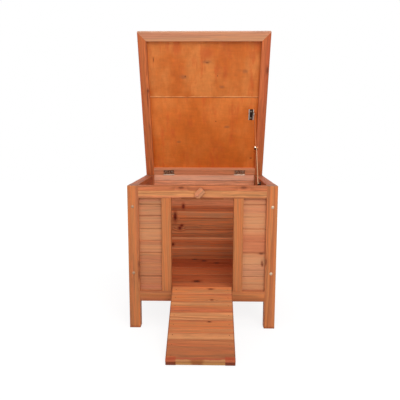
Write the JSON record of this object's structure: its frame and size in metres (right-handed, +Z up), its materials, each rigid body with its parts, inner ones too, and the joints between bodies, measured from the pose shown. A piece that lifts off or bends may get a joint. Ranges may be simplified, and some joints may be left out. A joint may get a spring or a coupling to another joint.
{
  "type": "cat house",
  "caption": "Wooden cat house on legs with boarded walls and floor, a hinged plywood lid held by a folding stay, and a drop-down ramp door with a turn button.",
  "frame": {"origin": "on the floor, at the centre of the four feet", "axes": "+Z up, -Y towards the doorway side, +X to the right seen from the front"},
  "size_m": [0.42, 0.7033, 0.8781],
  "materials": {
    "frame_wood": "stained softwood, sanded",
    "board_wood": "stained softwood boards",
    "ramp_wood": "stained softwood, sanded",
    "lid_wood": "stained softwood, sanded",
    "button_wood": "pale stained hardwood",
    "plywood": "orange stained plywood",
    "plated_steel": "dull plated",
    "zinc_steel": "zinc plated"
  },
  "bodies": {
    "house": {"button_screw": "zinc_steel", "button_washer": "zinc_steel", "door_stop": "frame_wood", "floor_bearers": "frame_wood", "floor_boards": "board_wood", "frame_bolts": "zinc_steel", "front_boards_left": "board_wood", "front_boards_right": "board_wood", "front_bottom_rail": "frame_wood", "front_stile_left": "frame_wood", "front_stile_right": "frame_wood", "front_top_rail": "frame_wood", "hinge_screws_house": "zinc_steel", "lid_hinge_leaf_fixed_left": "plated_steel", "lid_hinge_leaf_fixed_right": "plated_steel", "lid_hinge_pins": "zinc_steel", "post_front_left": "frame_wood", "post_front_right": "frame_wood", "post_rear_left": "frame_wood", "post_rear_right": "frame_wood", "ramp_hinge_leaf_fixed_left": "plated_steel", "ramp_hinge_leaf_fixed_right": "plated_steel", "ramp_hinge_pins": "zinc_steel", "rear_boards": "board_wood", "rear_bottom_rail": "frame_wood", "rear_top_rail": "frame_wood", "side_boards_left": "board_wood", "side_boards_right": "board_wood", "side_bottom_rail_left": "frame_wood", "side_bottom_rail_right": "frame_wood", "side_stile_left_front": "frame_wood", "side_stile_left_rear": "frame_wood", "side_stile_right_front": "frame_wood", "side_stile_right_rear": "frame_wood", "side_top_rail_left": "frame_wood", "side_top_rail_right": "frame_wood", "stay_lower_bracket": "plated_steel", "stay_lower_rivet": "plated_steel"},
    "lid": {"lid_hinge_leaf_moving_left": "plated_steel", "lid_hinge_leaf_moving_right": "plated_steel", "lid_panel_front": "plywood", "lid_panel_rear": "plywood", "lid_rail_front": "lid_wood", "lid_rail_left": "lid_wood", "lid_rail_rear": "lid_wood", "lid_rail_right": "lid_wood", "lid_screws": "zinc_steel", "stay_upper_bracket": "plated_steel", "stay_upper_rivet": "plated_steel"},
    "ramp": {"ramp_boards": "ramp_wood", "ramp_cross_battens": "ramp_wood", "ramp_hinge_leaf_moving_left": "plated_steel", "ramp_hinge_leaf_moving_right": "plated_steel", "ramp_screws": "zinc_steel", "ramp_side_battens": "ramp_wood"},
    "button": {"turn_button": "button_wood"},
    "stay_lower": {"stay_elbow_rivet": "plated_steel", "stay_lower_arm": "plated_steel"},
    "stay_upper": {"stay_elbow_cap": "plated_steel", "stay_upper_arm": "plated_steel"}
  },
  "joints": [
    {"name": "lid_hinge", "type": "hinge", "parent": "house", "child": "lid", "pos_m": [0, 0.2176, 0.4142], "axis": [1, 0, 0], "range_deg": [0, 68]},
    {"name": "ramp_hinge", "type": "hinge", "parent": "house", "child": "ramp", "pos_m": [0, -0.2176, 0.1115], "axis": [-1, 0, 0], "range_deg": [0, 115.27]},
    {"name": "turn_button_pivot", "type": "hinge", "parent": "house", "child": "button", "pos_m": [-0.014, -0.2156, 0.388], "axis": [0, 1, 0], "continuous": true},
    {"name": "stay_lower_pivot", "type": "hinge", "parent": "house", "child": "stay_lower", "pos_m": [0.173, -0.01, 0.402], "axis": [1, 0, 0], "range_deg": [-53.8, 0]},
    {"name": "stay_upper_pivot", "type": "hinge", "parent": "lid", "child": "stay_upper", "pos_m": [0.1706, 0.13531, 0.62643], "axis": [1, 0, 0], "range_deg": [0, 51.7]}
  ],
  "couplings": [
    {"joint": "stay_lower_pivot", "follows": "lid_hinge", "ratio": -0.79083},
    {"joint": "stay_upper_pivot", "follows": "lid_hinge", "ratio": 0.75911}
  ]
}
